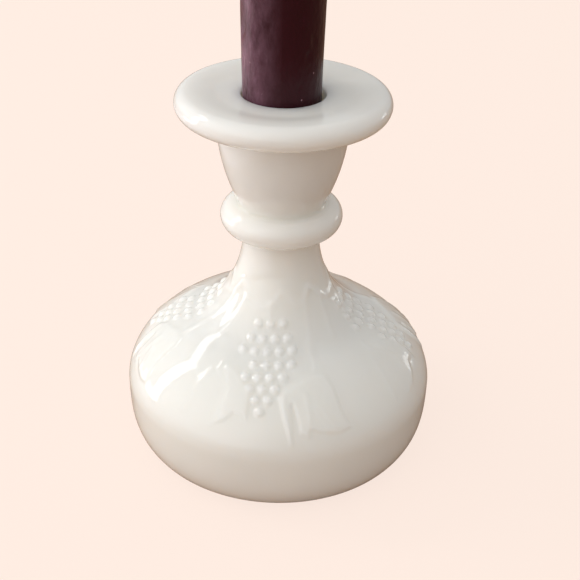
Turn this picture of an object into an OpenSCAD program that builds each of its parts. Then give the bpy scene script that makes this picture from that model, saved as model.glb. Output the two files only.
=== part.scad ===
// Candlestick pressed in one piece of opal glass, with the candle that stands loose in its socket.
// The origin is the centre of the foot ring, on the table. +Z is the axis of the glass.

/* [Base] */
// Widest diameter of the bulbous base
belly_d = 93.5; // [91:0.5:96]
// Height of the widest place above the table
belly_z = 20.3; // [19:0.1:22]
// Height that the rounded top of the base would reach on the axis
belly_top_z = 46.9; // [45.5:0.1:48]
// Outer diameter of the foot ring, where it stands on the table
foot_d = 78; // [76:0.5:80]
// Diameter of the opening underneath
hollow_d = 72; // [66:0.5:73]
// Height of the dome inside the base
hollow_h = 43; // [36:0.5:44]

/* [Neck and ring] */
// Diameter of the neck, just under the ring
neck_d = 22; // [20:0.5:24]
// Height of the neck's top, which is the underside of the ring
neck_z = 70.2; // [69:0.1:71]
// Diameter of the rounded ring
ring_d = 35.3; // [33:0.1:38]
// Height of the ring
ring_h = 8.5; // [7.5:0.1:9]

/* [Candle cup] */
// Diameter of the waist between ring and cup
waist_d = 24.6; // [24:0.1:26]
// Diameter of the cup where it meets the flange
cup_d = 37.2; // [35:0.1:39]
// Diameter of the socket
socket_d = 23; // [22.9:0.1:23.6]
// Depth of the socket, from the dished top to its floor
socket_depth = 23; // [20:0.5:25]

/* [Flange] */
// Height of the whole glass
glass_h = 112; // [111:0.1:114]
// Diameter of the flange
flange_d = 59.5; // [56:0.5:64]
// Thickness of the flange's rounded rim
rim_t = 6.8; // [6:0.1:7]
// Depth of the shallow dish in the flange's top
dish_depth = 0.9; // [0.4:0.1:1.4]

/* [Grape relief] */
// Number of bunches round the base
bunches = 4; // [2:1:4]
// Diameter of a grape
grape_d = 3.4; // [3:0.1:3.5]
// Height that a grape stands proud of the glass
grape_proud = 0.9; // [0.6:0.1:1.2]

/* [Candle] */
// Length of the wax
candle_l = 102; // [80:1:200]
// Diameter of the candle's shaft
candle_d = 22.7; // [22.4:0.1:24]
// Diameter of the candle's heel, at the mouth of the socket
heel_d = 22.3; // [21.6:0.1:22.3]
// Diameter of the wick
wick_d = 2; // [1.6:0.1:2.4]
// Length of wick that stands out of the wax
wick_out = 8; // [5:0.5:14]

/* [Hidden] */
$fn = 96;

// How full the base is, above and below its widest place: 2 is an ellipse, more is squarer
fullness_above = 1.82;
fullness_below = 3.6;
// Depth below the widest place that the rounded lower half would reach on the axis
belly_drop = 26.4;
// Where the round shoulder of the base turns into the hollow sweep of the neck
shoulder_r = 26.9;
// How far along the shoulder's slope the sweep keeps going before it turns up
sweep_reach = 0.62;
// Height of the rounding between the base and the foot ring
foot_round = 2.6;
// Fullness, draft and straight wall of the dome inside the base
dome_fullness = 2.2;
dome_draft = 0.5;
dome_wall = 13;
// Rounding of the socket's mouth, and width of the step down from the rim into the dish
lip_r = 1.1;
dish_step = 4.4;

waist_z = neck_z + ring_h;
rim_r = rim_t / 2;
dish_z = glass_h - dish_depth;
socket_floor = dish_z - socket_depth;

// Grapes in each row of a bunch, from the top row down, and each row's sideways shift in grapes
bunch_rows = [3, 4, 5, 4, 4, 3, 2, 1];
row_shift = [0, 0, 0, 0.6, 0.1, 0.1, 0.15, 0.1];
// Distance of each row down the surface from the neck's top
row_way = [24.1, 28.4, 32.3, 36.7, 40.6, 44.1, 47.4, 50.7];
// How much a row falls towards its left end, for each millimetre along it
row_fall = 0.07;
// Distance from grape to grape along a row
grape_pitch = 3.55;
// Turn of a bunch's middle from the front
bunch_turn = -8;

// The candle is a little wedge-shaped in the socket and reaches its full width this far above the glass
full_width_above = 30;
heel_taper = 0.8;
heel_chamfer = 1.2;
// Height of the candle's pointed tip, the dipped roll at its foot, and the flat at its top
tip_h = 9;
tip_roll = 1.4;
tip_d = 6;

function superellipse(r, h, n, a) = [r * pow(cos(a), 2 / n), h * pow(sin(a), 2 / n)];
function bezier(p, t) =
    pow(1 - t, 3) * p[0] + 3 * t * pow(1 - t, 2) * p[1] + 3 * t * t * (1 - t) * p[2] + pow(t, 3) * p[3];
function curve(p, steps) = [for (i = [0 : steps]) bezier(p, i / steps)];
function arc(centre, r, from, to, steps) =
    [for (i = [0 : steps]) let (a = from + (to - from) * i / steps) centre + r * [cos(a), sin(a)]];
function tail(points) = [for (i = [1 : len(points) - 1]) points[i]];

// Outline of the base from the foot ring up to the widest place
foot_angle = asin(pow((belly_z - foot_round) / belly_drop, fullness_below / 2));
lower_belly = [for (i = [0 : 12])
    [0, belly_z] + superellipse(belly_d / 2, -belly_drop, fullness_below, foot_angle * (1 - i / 12))];
foot_side = lower_belly[0];
foot_edge = curve([[foot_d / 2, 0], [foot_d / 2 + 1.4, 0], foot_side - [1, 1.1], foot_side], 5);

// Outline of the base from the widest place up to the shoulder, and on up the neck
shoulder_angle = acos(pow(2 * shoulder_r / belly_d, fullness_above / 2));
upper_belly = [for (i = [0 : 16])
    [0, belly_z] + superellipse(belly_d / 2, belly_top_z - belly_z, fullness_above, shoulder_angle * i / 16)];
shoulder = upper_belly[16];
lean = shoulder - upper_belly[15];
reach = lean / norm(lean) * (shoulder_r - neck_d / 2) * sweep_reach;
neck_flare = curve([shoulder, shoulder + reach,
    [neck_d / 2, (neck_z + shoulder[1]) / 2], [neck_d / 2, neck_z]], 16);

// The cup's side is one arc, upright where it meets the flange
cup_rise = glass_h - rim_t - waist_z;
cup_inset = (cup_d - waist_d) / 2;
cup_arc_r = (pow(cup_rise, 2) + pow(cup_inset, 2)) / (2 * cup_inset);
cup_side = arc([cup_d / 2 - cup_arc_r, waist_z + cup_rise], cup_arc_r, -asin(cup_rise / cup_arc_r), 0, 12);

ring = arc([(ring_d - ring_h) / 2, neck_z + ring_h / 2], ring_h / 2, -90, 90, 14);
rim = arc([flange_d / 2 - rim_r, glass_h - rim_r], rim_r, -90, 90, 16);
dish_edge = flange_d / 2 - rim_r;
dish = curve([[dish_edge, glass_h], [dish_edge - dish_step * 0.45, glass_h],
    [dish_edge - dish_step / 2, dish_z], [dish_edge - dish_step, dish_z]], 6);
lip = arc([socket_d / 2 + lip_r, dish_z - lip_r], lip_r, 90, 180, 4);

// Inside of the base, from the axis down to the opening underneath
dome = [for (i = [0 : 16]) [0, dome_wall] +
    superellipse(hollow_d / 2 - dome_draft, hollow_h - dome_wall, dome_fullness, 90 - 90 * i / 16)];

// Distance down the outside of the base from the neck's top, for setting the grapes out
surface = concat([for (i = [16 : -1 : 1]) neck_flare[i]], [for (i = [16 : -1 : 0]) upper_belly[i]]);
distance = [for (i = 0, d = 0; i < len(surface); i = i + 1,
    d = d + (i < len(surface) ? norm(surface[i] - surface[i - 1]) : 0)) d];
function on_surface(s) = [for (axis = [0, 1])
    lookup(s, [for (i = [0 : len(surface) - 1]) [distance[i], surface[i][axis]]])];

module bunch() {
    for (row = [0 : len(bunch_rows) - 1]) {
        for (i = [0 : bunch_rows[row] - 1]) {
            along = (i - (bunch_rows[row] - 1) / 2 + row_shift[row]) * grape_pitch;
            s = row_way[row] - along * row_fall;
            p = on_surface(s);
            slope = on_surface(s + 1) - on_surface(s - 1);
            outward = [-slope[1], slope[0]] / norm(slope);
            centre = p + outward * (grape_proud - grape_d / 2);
            turn = bunch_turn + along / p[0] * 180 / PI;
            rotate([0, 0, turn - 90]) translate([centre[0], 0, centre[1]]) sphere(d = grape_d);
        }
    }
}

// One pressing of glass: foot, hollow base with its grapes, neck, ring, cup and flange
module glass_body() {
    color("ivory") union() {
        rotate_extrude() polygon(concat(
            [[hollow_d / 2, 0]], foot_edge, tail(lower_belly), tail(upper_belly), tail(neck_flare),
            ring, cup_side, rim, tail(dish), lip,
            [[socket_d / 2, socket_floor], [0, socket_floor]], dome));
        for (i = [0 : bunches - 1]) rotate([0, 0, i * 360 / bunches]) bunch();
    }
}

// The candle stands on the socket's floor, a running fit in its wall
module candle_wax() {
    shaft_r = candle_d / 2;
    heel_r = heel_d / 2;
    tip_z = socket_floor + candle_l;
    color("#4a2233") rotate_extrude() polygon([
        [wick_d / 2, socket_floor], [heel_r - heel_taper / 2 - heel_chamfer / 2, socket_floor],
        [heel_r - heel_taper / 2, socket_floor + heel_chamfer],
        [heel_r, glass_h], [shaft_r, glass_h + full_width_above], [shaft_r, tip_z - tip_h],
        [shaft_r - tip_roll / 2, tip_z - tip_h + tip_roll],
        [tip_d / 2 + 1, tip_z - 0.8], [tip_d / 2, tip_z], [wick_d / 2, tip_z]]);
}

// The wick runs the whole length of the candle and stands out of its tip
module wick() {
    color("linen") translate([0, 0, socket_floor]) cylinder(d = wick_d, h = candle_l + wick_out);
}

glass_body();
candle_wax();
wick();
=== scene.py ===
import math

import bmesh
import bpy
import numpy as np
from mathutils import Matrix, Quaternion, Vector, noise


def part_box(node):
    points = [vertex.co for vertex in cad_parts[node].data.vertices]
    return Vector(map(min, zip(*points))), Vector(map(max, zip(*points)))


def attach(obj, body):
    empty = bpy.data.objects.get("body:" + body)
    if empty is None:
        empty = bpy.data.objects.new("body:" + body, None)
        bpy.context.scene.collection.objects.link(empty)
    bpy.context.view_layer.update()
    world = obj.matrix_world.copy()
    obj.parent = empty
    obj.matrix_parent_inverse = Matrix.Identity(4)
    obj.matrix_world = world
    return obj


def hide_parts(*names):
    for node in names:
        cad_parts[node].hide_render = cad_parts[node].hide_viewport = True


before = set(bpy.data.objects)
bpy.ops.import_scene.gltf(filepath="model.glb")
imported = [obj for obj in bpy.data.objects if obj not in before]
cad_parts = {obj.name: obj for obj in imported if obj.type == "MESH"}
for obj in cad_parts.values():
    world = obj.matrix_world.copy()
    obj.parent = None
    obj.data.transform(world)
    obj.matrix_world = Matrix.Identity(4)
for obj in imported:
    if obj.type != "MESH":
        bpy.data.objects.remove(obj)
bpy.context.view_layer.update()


# ---------------------------------------------------------------------------
# Camera
# A short telephoto look down on the candlestick from the front, a little
# tilted, close enough that the candle runs out of the top of the picture.
# ---------------------------------------------------------------------------
camera_data = bpy.data.cameras.new("camera")
camera_data.sensor_width = 36
camera_data.lens = 63.7
camera = bpy.data.objects.new("camera", camera_data)
bpy.context.scene.collection.objects.link(camera)
bpy.context.scene.camera = camera
camera_place = Vector((0, -0.2641, 0.2106))
camera_aim = Vector((0.0030, 0, 0.0483))
camera_tilt = math.radians(1.38)
camera.location = camera_place
camera.rotation_mode = "QUATERNION"
look = (camera_aim - camera_place).to_track_quat("-Z", "Y")
camera.rotation_quaternion = look @ Quaternion((0, 0, 1), camera_tilt)


# ---------------------------------------------------------------------------
# Light
# A pale room that is brightest to the front left. A window on the left lets daylight
# in round the edges of its blind, and lights the table under it. A small far window
# stands behind on the right.
# ---------------------------------------------------------------------------
def linear(code):
    """An sRGB hex colour as linear red, green, blue and full alpha."""
    parts = [int(code[i:i + 2], 16) / 255 for i in (1, 3, 5)]
    return tuple(c / 12.92 if c <= 0.04045 else ((c + 0.055) / 1.055) ** 2.4 for c in parts) + (1.0,)


def add(tree, kind, inputs=None, **settings):
    """Adds a node with its settings. An input is given a value, or another node's output to link."""
    made = tree.nodes.new(kind)
    for name, value in settings.items():
        setattr(made, name, value)
    for socket, value in (inputs or {}).items():
        if isinstance(value, bpy.types.NodeSocket):
            tree.links.new(value, made.inputs[socket])
        else:
            made.inputs[socket].default_value = value
    return made


bpy.context.scene.view_settings.view_transform = "Standard"
backdrop_colour = "#FFEEE4"


def panel_light(name, place, aim, size, strength, colour="#FFFFFF", tilt=0):
    """A rectangular light that faces a point, turned by some degrees in its own plane."""
    data = bpy.data.lights.new(name, "AREA")
    data.shape = "RECTANGLE"
    data.size, data.size_y = size
    data.energy = strength
    data.color = linear(colour)[:3]
    light = bpy.data.objects.new(name, data)
    bpy.context.scene.collection.objects.link(light)
    light.location = place
    facing = (Vector(aim) - Vector(place)).to_track_quat("-Z", "Y")
    light.rotation_euler = (facing @ Quaternion((0, 0, 1), math.radians(tilt))).to_euler()
    light.visible_camera = False


middle = Vector((0, 0, 0.06))


def round_about(azimuth, elevation, distance=0.9):
    """A place round the candlestick. Azimuth 0 is the viewer's side, and plus is to the right."""
    turn, rise = math.radians(azimuth), math.radians(elevation)
    level = distance * math.cos(rise)
    return middle + Vector((math.sin(turn) * level, -math.cos(turn) * level, distance * math.sin(rise)))


# The window's bright edges stand round its dimmer blind. Its front edge leans back as it rises
panel_light("window_edge", round_about(-101, 19), middle, (0.13, 0.74), 1.7, tilt=12)
panel_light("window_top", round_about(-117, 44), middle, (0.34, 0.09), 0.42, tilt=-10)
panel_light("window_sill", round_about(-107, -3, 0.45), middle, (0.15, 0.075), 0.14)
panel_light("window_blind", round_about(-124, 23), middle, (0.42, 0.50), 0.3)
panel_light("window_right", round_about(122, 6), middle, (0.16, 0.19), 0.2)
lit_table = Vector((-0.35, -0.05, 0.002))
panel_light("lit_table", lit_table, lit_table + Vector((0, 0, 1)), (0.45, 0.7), 0.6, "#E4ECFF")

world = bpy.data.worlds.new("room")
bpy.context.scene.world = world
world.use_nodes = True
tree = world.node_tree
tree.nodes.clear()
facing = add(tree, "ShaderNodeTexCoord").outputs["Generated"]
brightness = add(tree, "ShaderNodeValue").outputs[0]
brightness.default_value = 0.13
# Each side of the room glows softly round its own direction: front left, left, right, back and ceiling
room_sides = (((-0.7, -0.7, 0.3), 1.36), ((-1, 0, 0.3), 0.28), ((1, 0, 0.3), 0.44), ((0, 1, 0.3), 0.36),
              ((0, 0, 1), 0.27))
for direction, strength in room_sides:
    towards = add(tree, "ShaderNodeVectorMath", {0: facing, 1: Vector(direction).normalized()},
                  operation="DOT_PRODUCT")
    front = add(tree, "ShaderNodeMath", {0: towards.outputs["Value"], 1: 0}, operation="MAXIMUM")
    glow = add(tree, "ShaderNodeMath", {0: front.outputs[0], 1: front.outputs[0]}, operation="MULTIPLY")
    lit = add(tree, "ShaderNodeMath", {0: glow.outputs[0], 1: strength, 2: brightness},
              operation="MULTIPLY_ADD")
    brightness = lit.outputs[0]
room = add(tree, "ShaderNodeBackground", {"Strength": brightness})
room.inputs["Color"].default_value = linear("#FFFFFF")
backdrop = add(tree, "ShaderNodeBackground", {"Color": linear(backdrop_colour)})
seen = add(tree, "ShaderNodeLightPath")
mixed = add(tree, "ShaderNodeMixShader",
            {0: seen.outputs["Is Camera Ray"], 1: room.outputs[0], 2: backdrop.outputs[0]})
add(tree, "ShaderNodeOutputWorld", {"Surface": mixed.outputs[0]})


# ---------------------------------------------------------------------------
# Floor
# A plain pale sweep. It shows its own colour with only a faint contact shadow,
# and gives the underside of the glass the warm bounce of a wooden table.
# ---------------------------------------------------------------------------
floor_mesh = bmesh.new()
bmesh.ops.create_grid(floor_mesh, x_segments=1, y_segments=1, size=3)
floor_data = bpy.data.meshes.new("floor")
floor_mesh.to_mesh(floor_data)
floor_mesh.free()
floor = bpy.data.objects.new("floor", floor_data)
bpy.context.scene.collection.objects.link(floor)

# Pale matt card to the eye, and warm brown wood in the light that it throws up at the glass
pale_floor = bpy.data.materials.new("pale_floor")
pale_floor.use_nodes = True
tree = pale_floor.node_tree
tree.nodes.clear()
glow = add(tree, "ShaderNodeEmission", {"Color": linear(backdrop_colour), "Strength": 0.88})
shade = add(tree, "ShaderNodeBsdfDiffuse", {"Color": linear("#665C54")})
shown = add(tree, "ShaderNodeAddShader", {0: glow.outputs[0], 1: shade.outputs[0]})
wood = add(tree, "ShaderNodeBsdfDiffuse", {"Color": linear("#AC8A6E")})
ray = add(tree, "ShaderNodeLightPath")
either = add(tree, "ShaderNodeMixShader",
             {0: ray.outputs["Is Camera Ray"], 1: wood.outputs[0], 2: shown.outputs[0]})
add(tree, "ShaderNodeOutputMaterial", {"Surface": either.outputs[0]})
floor_data.materials.append(pale_floor)


# ---------------------------------------------------------------------------
# Glass body
# The whole candlestick is one pressing of opal glass: foot, hollow bulbous base,
# neck, ring, candle cup and flange. Its bunches of grapes, vine leaves and stems
# are cut into the mould and stand up to a millimetre proud, fire-polished soft.
# ---------------------------------------------------------------------------
MM = 0.001
glass_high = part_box("glass_body")[1]
wax_low, wax_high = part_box("candle_wax")
belly_r = glass_high.x / MM
glass_h = glass_high.z / MM
belly_z = 20.3
belly_rise = 26.6
belly_drop = 26.4
fullness_above = 1.82
fullness_below = 3.6
shoulder_r = 26.9
foot_r = 39.0
hollow_r = 36.0
hollow_h = 43.0
neck_r = 11.0
neck_z = 70.2
ring_r = 17.65
ring_h = 8.5
waist_r = 12.3
cup_r = 18.6
flange_r = 29.75
rim_r = 3.4
dish_z = glass_h - 0.9
socket_r = 11.5
lip_r = 0.7
socket_floor = wax_low.z / MM
neck_sweep = 0.62


def superellipse(radius, height, fullness, angle):
    """A point on a squared quarter ellipse, as distance from the axis and height."""
    return (radius * math.cos(angle) ** (2 / fullness), height * math.sin(angle) ** (2 / fullness))


def arc(centre, radius, start, end, steps):
    """Points along a round stretch of the outline, from one angle to another in degrees."""
    angles = [math.radians(start + (end - start) * i / steps) for i in range(steps + 1)]
    return [(centre[0] + radius * math.cos(a), centre[1] + radius * math.sin(a)) for a in angles]


def sweep(a, b, c, d, steps):
    """Points along a smooth sweep from a to d, leaving towards b and arriving from c."""
    points = []
    for i in range(steps + 1):
        t = i / steps
        w = ((1 - t) ** 3, 3 * t * (1 - t) ** 2, 3 * t * t * (1 - t), t ** 3)
        points.append(tuple(sum(k * p[n] for k, p in zip(w, (a, b, c, d))) for n in (0, 1)))
    return points


# The outline of the base, from the neck's top down to the foot
shoulder_angle = math.acos((shoulder_r / belly_r) ** (fullness_above / 2))
upper_belly = [superellipse(belly_r, belly_rise, fullness_above, shoulder_angle * (1 - i / 60))
               for i in range(61)]
upper_belly = [(r, belly_z + z) for r, z in upper_belly]
shoulder = upper_belly[0]
lean = Vector(shoulder) - Vector(upper_belly[1])
turn_in = Vector(shoulder) + lean.normalized() * (shoulder_r - neck_r) * neck_sweep
neck_flare = sweep((neck_r, neck_z), (neck_r, (neck_z + shoulder[1]) / 2), tuple(turn_in), shoulder, 60)
foot_round = 2.6
foot_angle = math.asin(((belly_z - foot_round) / belly_drop) ** (fullness_below / 2))
lower_belly = [superellipse(belly_r, -belly_drop, fullness_below, foot_angle * i / 40)
               for i in range(1, 41)]
lower_belly = [(r, belly_z + z) for r, z in lower_belly]
side = np.array(neck_flare[:-1] + upper_belly + lower_belly)
down = np.concatenate([[0], np.cumsum(np.hypot(*np.diff(side, axis=0).T))])


def side_point(s):
    """Distance from the axis and height, s millimetres down the side from the neck's top."""
    return np.interp(s, down, side[:, 0]), np.interp(s, down, side[:, 1])


def side_normal(s):
    """The outward direction of the side there, as its share away from the axis and up."""
    step = 0.3
    r0, z0 = side_point(s - step)
    r1, z1 = side_point(s + step)
    length = np.hypot(r1 - r0, z1 - z0)
    return (z0 - z1) / length, (r1 - r0) / length


# The relief is set out in degrees round from the front and millimetres down the side from the neck's
# top, and repeats each quarter. A row of grapes is its count, its shift in grapes, and its way down
repeats = 4
grape_r = 1.7
grape_proud = 0.9
bunch_turn = -8
bunch_rows = [(3, 0, 24.1), (4, 0, 28.4), (5, 0, 32.3), (4, 0.6, 36.7), (4, 0.1, 40.6), (3, 0.1, 44.1),
              (2, 0.15, 47.4), (1, 0.1, 50.7)]
row_fall = 0.07
grape_pitch = 3.55
right_leaf = [(-0.5, 46.2), (2.5, 42.8), (7, 41), (11, 39.6), (14.5, 38.4), (19.5, 38), (25, 39.4),
              (26.8, 41.6), (26.2, 46), (26.1, 51.5), (26.9, 54.3), (28.4, 57.4), (23.5, 58.3),
              (19.5, 57.9), (15.5, 57), (12.5, 56), (11.3, 58.4), (8, 56.6), (7.5, 52.5), (6, 48.5),
              (5.7, 53), (5.2, 61), (3.5, 57), (2, 53.8), (1, 50.8)]
left_leaf = [(-12, 44), (-11.5, 50), (-12, 54.6), (-14, 52.4), (-17.5, 52.2), (-20.5, 55), (-25, 57.3),
             (-29.5, 58.5), (-33, 54.4), (-39.5, 57.4), (-41, 52), (-40.5, 46), (-38, 41), (-34.5, 37.6),
             (-30, 36.5), (-22, 38)]
left_fold = [(-12, 44), (-11.5, 50), (-12, 54.6), (-14, 52.4), (-17.5, 52.2), (-20.5, 55), (-24.8, 57),
             (-24, 51), (-23.5, 46), (-27.5, 43.2), (-32, 40.8), (-31.5, 37), (-22, 38)]
back_leaf = [(-42, 20.5), (-36, 23), (-31, 28), (-27, 33), (-14, 36), (6, 34), (10, 29), (12, 23),
             (3, 19), (-12, 17.5), (-28, 18)]
creases = [[(12.2, 46), (12.6, 52), (11.8, 57.5)], [(15.3, 49.8), (18.7, 56)], [(17.4, 50), (21.5, 56)],
           [(2.5, 46.5), (2.8, 51), (4.8, 59.5)], [(-35.5, 42), (-37.5, 49), (-38.6, 56)],
           [(-31.8, 37.5), (-32, 40.8), (-27.5, 43.4), (-23.8, 46.2), (-24.4, 51), (-25.3, 56.5)]]
stems = [[(36, 14.5), (30, 18.5), (27, 23), (25, 27.5), (21, 33), (20.5, 38)],
         [(51, 18), (47, 25), (43.5, 30)],
         [(-54, 14.5), (-46, 15.5), (-38, 18), (-30, 19.5), (-18, 19.4), (-7, 18), (2, 14.8), (10, 15.6),
          (18, 18.6), (26, 18), (36, 14.5)],
         [(-9, 18.5), (-9.5, 21), (-8, 24)]]


def place(turn, s, centre):
    """A relief point, in degrees and millimetres down the side, as flat millimetres about its middle."""
    return math.radians(turn - centre) * side_point(s)[0], s


def away_from_line(points, x, y):
    """Distance from each of many points to a line that is drawn through a few."""
    nearest = np.full(x.shape, np.inf)
    for (ax, ay), (bx, by) in zip(points, points[1:]):
        length = math.hypot(bx - ax, by - ay)
        along = np.clip(((x - ax) * (bx - ax) + (y - ay) * (by - ay)) / length ** 2, 0, 1)
        nearest = np.minimum(nearest, np.hypot(x - ax - along * (bx - ax), y - ay - along * (by - ay)))
    return nearest


def depth_inside(outline, x, y):
    """How far each of many points lies inside a closed outline, and negative outside it."""
    closed = outline + outline[:1]
    inside = np.zeros(x.shape, bool)
    for (ax, ay), (bx, by) in zip(closed, closed[1:]):
        if ay != by:
            inside ^= ((ay > y) != (by > y)) & (x < ax + (y - ay) * (bx - ax) / (by - ay))
    nearest = away_from_line(closed, x, y)
    return np.where(inside, nearest, -nearest)


def ramp(value, width):
    """A soft rise from 0 to 1 over a width."""
    t = np.clip(value / width, 0, 1)
    return t * t * (3 - 2 * t)


def meld(a, b, softness=0.12):
    """The higher of two heights, run into each other softly."""
    return (a + b + np.sqrt((a - b) ** 2 + softness ** 2) - softness) / 2


def relief(turn, s):
    """Height of the relief over the plain side, in millimetres."""
    r = side_point(s)[0]
    period = 360 / repeats

    def across(centre):
        """Millimetres sideways from a line that runs down the side, or from its nearest repeat."""
        return np.radians((turn - centre + period / 2) % period - period / 2) * r

    def leaf(outline, centre, proud):
        """A leaf that rises gently from its top edge, drops off at its lobes, and is a little puckered."""
        soft_top, soft_lobe = 4, 1.3
        x = across(centre)
        depth = depth_inside([place(a, b, centre) for a, b in outline], x, s)
        top = min(b for a, b in outline)
        rise = ramp(depth + 0.3, np.interp(s, (top, top + 8), (soft_top, soft_lobe)))
        pucker = np.array([noise.noise(Vector((a / 1.9, b / 2.4, centre))) for a, b in zip(x, s)])
        return rise * (proud + 0.06 * pucker)

    height = leaf(back_leaf, -15, 0.14)
    height = meld(height, leaf(left_leaf, -32, 0.22))
    height = meld(height, leaf(left_fold, -22, 0.62))
    height = meld(height, leaf(right_leaf, 13, 0.6))
    for lines, proud, width in ((creases, 0.18, 0.8), (stems, 0.28, 1.1)):
        for line in lines:
            centre = sum(a for a, b in line) / len(line)
            gap = away_from_line([place(a, b, centre) for a, b in line], across(centre), s)
            height = height + proud * np.exp(-(gap / width) ** 2)
    bunch = np.zeros(s.shape)
    for count, shift, way in bunch_rows:
        for i in range(count):
            along = (i - (count - 1) / 2 + shift) * grape_pitch
            gap = np.hypot(across(bunch_turn) - along, s - way + along * row_fall)
            ball = np.sqrt(np.maximum(grape_r ** 2 - gap ** 2, 0))
            bunch = np.maximum(bunch, ball + grape_proud - grape_r)
    return meld(height, bunch, softness=0.4)


# The glass is spun in three stretches: the relief finely, the plain glass above and below it less so
plain_columns = 150
fine_columns = 600
relief_top, relief_bottom = 10.5, 62.5
fine_row = 0.43
fillet = 0.7
ring_mid = ring_r - ring_h / 2
cup_rise = glass_h - 2 * rim_r - neck_z - ring_h
cup_inset = cup_r - waist_r
cup_arc = (cup_rise ** 2 + cup_inset ** 2) / (2 * cup_inset)
cup_slope = math.degrees(math.asin(cup_rise / cup_arc))
cup_foot = (waist_r, neck_z + ring_h)
flange_z = glass_h - 2 * rim_r
cup_side = arc((cup_r - cup_arc, flange_z), cup_arc, 0, -cup_slope, 16)
ring_round = arc((ring_mid, neck_z + ring_h / 2), ring_h / 2, 72, -84, 24)
rim_mid = flange_r - rim_r
dish_edge = rim_mid - 9.4
top_outline = (
    [(0, socket_floor), (socket_r * 0.5, socket_floor), (socket_r - fillet, socket_floor)]
    + arc((socket_r - fillet, socket_floor + fillet), fillet, -90, 0, 3)[1:]
    + [(socket_r, socket_floor + 8), (socket_r, socket_floor + 16)]
    + arc((socket_r + lip_r, dish_z - lip_r), lip_r, 180, 90, 6)
    + [((socket_r + lip_r + dish_edge) / 2, dish_z)]
    + sweep((dish_edge, dish_z), (dish_edge + 2.8, dish_z), (rim_mid - 4.6, glass_h),
            (rim_mid, glass_h), 14)
    + arc((rim_mid, glass_h - rim_r), rim_r, 90, -90, 26)[1:]
    + [(cup_r + 4, flange_z)]
    + sweep((cup_r + 1.3, flange_z), (cup_r + 0.3, flange_z), cup_side[0], cup_side[1], 5)
    + cup_side[2:-2]
    + sweep(cup_side[-3], cup_foot, cup_foot, ring_round[0], 8)[1:]
    + ring_round[1:]
    + sweep((ring_mid - 0.4, neck_z), (neck_r + 0.3, neck_z), (neck_r, neck_z - 0.3),
            (neck_r, neck_z - 1.4), 6)
    + [tuple(side_point(s)) for s in np.arange(2.4, relief_top - 0.5, 1.6)]
)
relief_rows = np.linspace(relief_top, relief_bottom, int((relief_bottom - relief_top) / fine_row))
relief_outline = [tuple(side_point(s)) for s in relief_rows]
side_end = tuple(side[-1])
dome_wall = 13
dome_draft = 0.5
dome_fullness = 2.2
dome_top = [superellipse(hollow_r - dome_draft, hollow_h - dome_wall, dome_fullness, math.radians(a))
            for a in range(0, 91, 6)]
foot_outline = (
    [tuple(side_point(s)) for s in np.arange(relief_bottom + 1.2, down[-1] - 0.5, 1.0)]
    + sweep(side_end, (side_end[0] - 1, side_end[1] - 1.1), (foot_r + 1.4, 0), (foot_r, 0), 8)
    + [((foot_r + hollow_r) / 2, 0)]
    + arc((hollow_r + 0.5, 0.5), 0.5, -90, -180, 3)
    + [(hollow_r - 0.1, 3), (hollow_r - 0.3, 8)]
    + [(r, dome_wall + z) for r, z in dome_top]
)


def spin_outline(outline, columns, share=1):
    """A new mesh: a line of points, in millimetres, spun round the axis or round a share of it."""
    mesh = bmesh.new()
    points = [mesh.verts.new((0, -r * MM, z * MM)) for r, z in outline]
    lines = [mesh.edges.new(pair) for pair in zip(points, points[1:])]
    bmesh.ops.spin(mesh, geom=points + lines, cent=(0, 0, 0), axis=(0, 0, 1), angle=2 * math.pi * share,
                   steps=round(columns * share), use_merge=share == 1)
    return mesh


def copy_round(mesh, count):
    """Copies everything in a mesh round the axis to make a full ring."""
    everything = mesh.verts[:] + mesh.edges[:] + mesh.faces[:]
    bmesh.ops.spin(mesh, geom=everything, cent=(0, 0, 0), axis=(0, 0, 1), angle=2 * math.pi, steps=count,
                   use_duplicate=True)
    bmesh.ops.remove_doubles(mesh, verts=mesh.verts, dist=1e-6)


def pour_in(mesh, other):
    """Moves another mesh's faces into this one."""
    carrier = bpy.data.meshes.new("carrier")
    other.to_mesh(carrier)
    other.free()
    mesh.from_mesh(carrier)
    bpy.data.meshes.remove(carrier)


def open_ring(mesh, height):
    """The ring of open edges at a height in millimetres."""
    return [e for e in mesh.edges
            if e.is_boundary and all(abs(v.co.z / MM - height) < 1e-3 for v in e.verts)]


def finish_piece(mesh, name, body, slot, material, *nodes):
    """Merges seams, turns faces outwards, smooths the shading, and makes a piece that rides on a body."""
    bmesh.ops.remove_doubles(mesh, verts=mesh.verts, dist=1e-7)
    bmesh.ops.recalc_face_normals(mesh, faces=mesh.faces)
    for face in mesh.faces:
        face.smooth = True
    data = bpy.data.meshes.new(name)
    mesh.to_mesh(data)
    mesh.free()
    piece = bpy.data.objects.new(name, data)
    bpy.context.scene.collection.objects.link(piece)
    data.materials.append(material)
    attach(piece, body)
    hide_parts(*nodes)


# Opal glass, pressed and fire-polished. It is white all through, with a faint clouding, so light sinks in
# and comes out softened, under a clear gloss that mirrors the windows and waves faintly from the mould
cloud_size = 22.2
wave_size = 11.1
opal_glass = bpy.data.materials.new("opal_glass")
opal_glass.use_nodes = True
tree = opal_glass.node_tree
tree.nodes.clear()
where = add(tree, "ShaderNodeTexCoord").outputs["Object"]
cloud = add(tree, "ShaderNodeTexNoise", {"Vector": where, "Scale": 1 / (cloud_size * MM), "Detail": 2.0})
tint = add(tree, "ShaderNodeMix", {0: cloud.outputs["Fac"], 6: linear("#F1EFE9"), 7: linear("#ECEBE5")},
           data_type="RGBA")
wave = add(tree, "ShaderNodeTexNoise", {"Vector": where, "Scale": 1 / (wave_size * MM), "Detail": 1.0})
ripple = add(tree, "ShaderNodeBump",
             {"Height": wave.outputs["Fac"], "Strength": 1.0, "Distance": 0.06 * MM})
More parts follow.
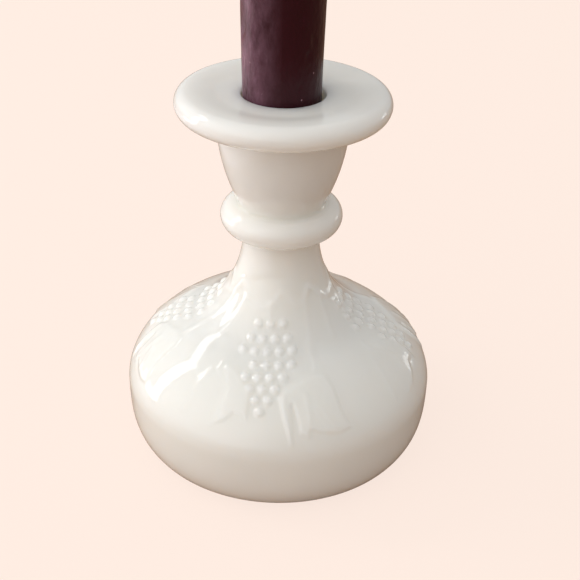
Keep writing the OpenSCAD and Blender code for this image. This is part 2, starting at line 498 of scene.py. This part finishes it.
shader = add(tree, "ShaderNodeBsdfPrincipled", {
    "Base Color": tint.outputs[2], "Roughness": 0.04, "IOR": 1.5, "Normal": ripple.outputs[0],
    "Subsurface Weight": 1.0, "Subsurface Radius": (1.0, 0.95, 0.9), "Subsurface Scale": 8 * MM})
add(tree, "ShaderNodeOutputMaterial", {"Surface": shader.outputs[0]})

# A quarter of the relief is shaped and then copied round, as the mould's four parts are cut alike
glass = spin_outline(relief_outline, fine_columns, 1 / repeats)
plain = np.array([v.co[:] for v in glass.verts]) / MM
turns = np.degrees(np.arctan2(plain[:, 0], -plain[:, 1]))
ways_down = np.interp(-plain[:, 2], -side[:, 1], down)
heights = relief(turns, ways_down)
outward, upward = side_normal(ways_down)
for vertex, turn, height, out, up in zip(glass.verts, np.radians(turns), heights, outward, upward):
    vertex.co += Vector((math.sin(turn) * out, -math.cos(turn) * out, up)) * height * MM
copy_round(glass, repeats)
pour_in(glass, spin_outline(top_outline, plain_columns))
pour_in(glass, spin_outline(foot_outline, plain_columns))
for over, under in ((top_outline[-1], relief_outline[0]), (relief_outline[-1], foot_outline[0])):
    bmesh.ops.bridge_loops(glass, edges=open_ring(glass, over[1]) + open_ring(glass, under[1]))
finish_piece(glass, "pressed_glass", "glass", "opal_glass", opal_glass, "glass_body")


# ---------------------------------------------------------------------------
# Candle
# A plum household candle of dyed paraffin wax, drawn and then cut to length. It is satin,
# marked by handling, with a painted window reflection down its left side. It stands in the socket.
# ---------------------------------------------------------------------------
wax_top = wax_high.z / MM
shaft_r = wax_high.x / MM
heel_r = 10.8
heel_taper = 0.4
heel_round = 1.2
stand_left = 0.45
full_width_z = glass_h + 30
tip_h = 9
tip_z = wax_top - tip_h
tip_turn = (7.6, tip_z + 4.8)
tip_flat = 2.6
wax_row = 0.8
shaft_rows = np.arange(socket_floor + 2, tip_z - 0.6, wax_row)
shaft_outline = [
    (np.interp(z, (socket_floor, glass_h, full_width_z), (heel_r - heel_taper, heel_r, shaft_r)), z)
    for z in shaft_rows]
wax_outline = (
    [(0, socket_floor + 0.1), (5, socket_floor), (heel_r - heel_round, socket_floor)]
    + sweep((heel_r - heel_round, socket_floor), (heel_r - heel_round / 2, socket_floor),
            (heel_r - 0.1, socket_floor + 0.5), (heel_r - heel_taper, socket_floor + 1.5), 4)[1:]
    + shaft_outline
    + sweep((shaft_r, tip_z), (shaft_r, tip_z + 1.6), (9.4, tip_z + 3), tip_turn, 8)
    + sweep(tip_turn, (5.8, tip_z + 6.6), (4.4, wax_top), (tip_flat, wax_top), 9)[1:]
    + [(1.6, wax_top - 0.3), (0, wax_top - 0.6)]
)

# The candle stands a hair to the left in the mouth, and its free length has shallow hollows and dents
swell_depth = 0.16
dent_depth = 0.9
dent_start = 0.28
candle_columns = 144
candle = spin_outline(wax_outline, candle_columns)
for vertex in candle.verts:
    x, y, z = vertex.co / MM
    vertex.co.x -= stand_left * min((z - socket_floor) / (glass_h - socket_floor), 1) * MM
    radius = math.hypot(x, y)
    if radius < 5 or z > tip_z + 2:
        continue
    free = min(max((z - glass_h) / 3, 0), 1)
    place_on_wax = Vector((x / 9, y / 9, z / 22))
    swell = noise.noise(place_on_wax) * swell_depth
    dents = max(noise.noise(Vector((x / 3.2, y / 3.2, z / 4.5 + 40))) - dent_start, 0) * -dent_depth
    push = min((swell + dents) * free, 0) / radius
    vertex.co.x += x * push * MM
    vertex.co.y += y * push * MM

# Dyed paraffin wax, drawn and handled. It is a dark satin plum, greyed to mauve in patches down its left
# side by a painted reflection of the window, with a few pale specks of dust. Its scuffs are drawn coarser
# than real ones, so that they show
window_reflection_size = 5.26
speck_gap = 5.26
speck_r = 0.237
scuff_size = 2.38
plum_wax = bpy.data.materials.new("plum_wax")
plum_wax.use_nodes = True
tree = plum_wax.node_tree
tree.nodes.clear()
where = add(tree, "ShaderNodeTexCoord").outputs["Object"]
stretched = add(tree, "ShaderNodeMapping", {"Vector": where, "Scale": (1.0, 1.0, 0.5)}).outputs[0]
# Patches of painted window reflection, stretched along the candle
window_reflection_noise = add(tree, "ShaderNodeTexNoise",
            {"Vector": stretched, "Scale": 1 / (window_reflection_size * MM), "Detail": 6.0, "Roughness": 0.68})
reflection_patches = add(tree, "ShaderNodeMapRange",
              {"Value": window_reflection_noise.outputs["Fac"], "From Min": 0.28, "From Max": 0.66})
sideways = add(tree, "ShaderNodeSeparateXYZ", {0: where}).outputs["X"]
# The painted reflection is laid only on the left side, which faces the window, and fades in over 10 mm
window_side_mask = add(tree, "ShaderNodeMapRange",
              {"Value": sideways, "From Min": -0.5 * MM, "From Max": -10.5 * MM})
painted_reflection = add(tree, "ShaderNodeMath", {0: reflection_patches.outputs[0], 1: window_side_mask.outputs[0]},
              operation="MULTIPLY")
# Dark plum wax, lightened to mauve where the window reflection is painted
colour = add(tree, "ShaderNodeMix",
             {0: painted_reflection.outputs[0], 6: linear("#320913"), 7: linear("#845D6D")}, data_type="RGBA")
specks = add(tree, "ShaderNodeTexVoronoi", {"Vector": where, "Scale": 1 / (speck_gap * MM)})
speck = add(tree, "ShaderNodeMath", {0: specks.outputs["Distance"], 1: speck_r / speck_gap},
            operation="LESS_THAN")
speckled = add(tree, "ShaderNodeMix",
               {0: speck.outputs[0], 6: colour.outputs[2], 7: linear("#8E6C74")}, data_type="RGBA")
scuffs = add(tree, "ShaderNodeTexNoise",
             {"Vector": stretched, "Scale": 1 / (scuff_size * MM), "Detail": 4.0})
scuffed = add(tree, "ShaderNodeBump",
              {"Height": scuffs.outputs["Fac"], "Strength": 0.8, "Distance": 0.4 * MM})
shader = add(tree, "ShaderNodeBsdfPrincipled", {
    "Base Color": speckled.outputs[2], "Normal": scuffed.outputs[0], "Roughness": 0.33, "IOR": 1.44,
    "Specular IOR Level": 0.25, "Subsurface Weight": 0.15, "Subsurface Radius": (1.0, 0.4, 0.4),
    "Subsurface Scale": 1.5 * MM})
add(tree, "ShaderNodeOutputMaterial", {"Surface": shader.outputs[0]})
finish_piece(candle, "candle", "candle", "plum_wax", plum_wax, "candle_wax")


# ---------------------------------------------------------------------------
# Wick
# Braided cotton, laid up from three strands and dipped in wax. It runs the whole
# length of the candle and stands straight out of the tip.
# ---------------------------------------------------------------------------
wick_low, wick_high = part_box("wick")
strand_r = 0.52
strand_out = 0.5
lay = 4.2
wick_length = (wick_high.z - wick_low.z) / MM
wick_mesh = bmesh.new()
strand_place = Matrix.Translation((strand_out * MM, 0, wick_low.z)) @ Matrix.Rotation(math.pi / 2, 4, "X")
bmesh.ops.create_circle(wick_mesh, segments=8, radius=strand_r * MM, matrix=strand_place, cap_ends=True)
lays = wick_length / lay
steps_per_lay = 14
steps = int(lays * steps_per_lay)
bmesh.ops.spin(wick_mesh, geom=wick_mesh.verts[:] + wick_mesh.edges[:] + wick_mesh.faces[:], cent=(0, 0, 0),
               axis=(0, 0, 1), angle=2 * math.pi * lays, dvec=(0, 0, wick_length / steps * MM), steps=steps)
copy_round(wick_mesh, 3)

# Cotton yarn, braided and dipped in clear wax: off-white and dull, with its strands showing
waxed_cotton = bpy.data.materials.new("waxed_cotton")
waxed_cotton.use_nodes = True
tree = waxed_cotton.node_tree
tree.nodes.clear()
shader = add(tree, "ShaderNodeBsdfPrincipled", {"Base Color": linear("#D9CDB8"), "Roughness": 0.7})
add(tree, "ShaderNodeOutputMaterial", {"Surface": shader.outputs[0]})
finish_piece(wick_mesh, "wick_braid", "candle", "cotton_wick", waxed_cotton, "wick")
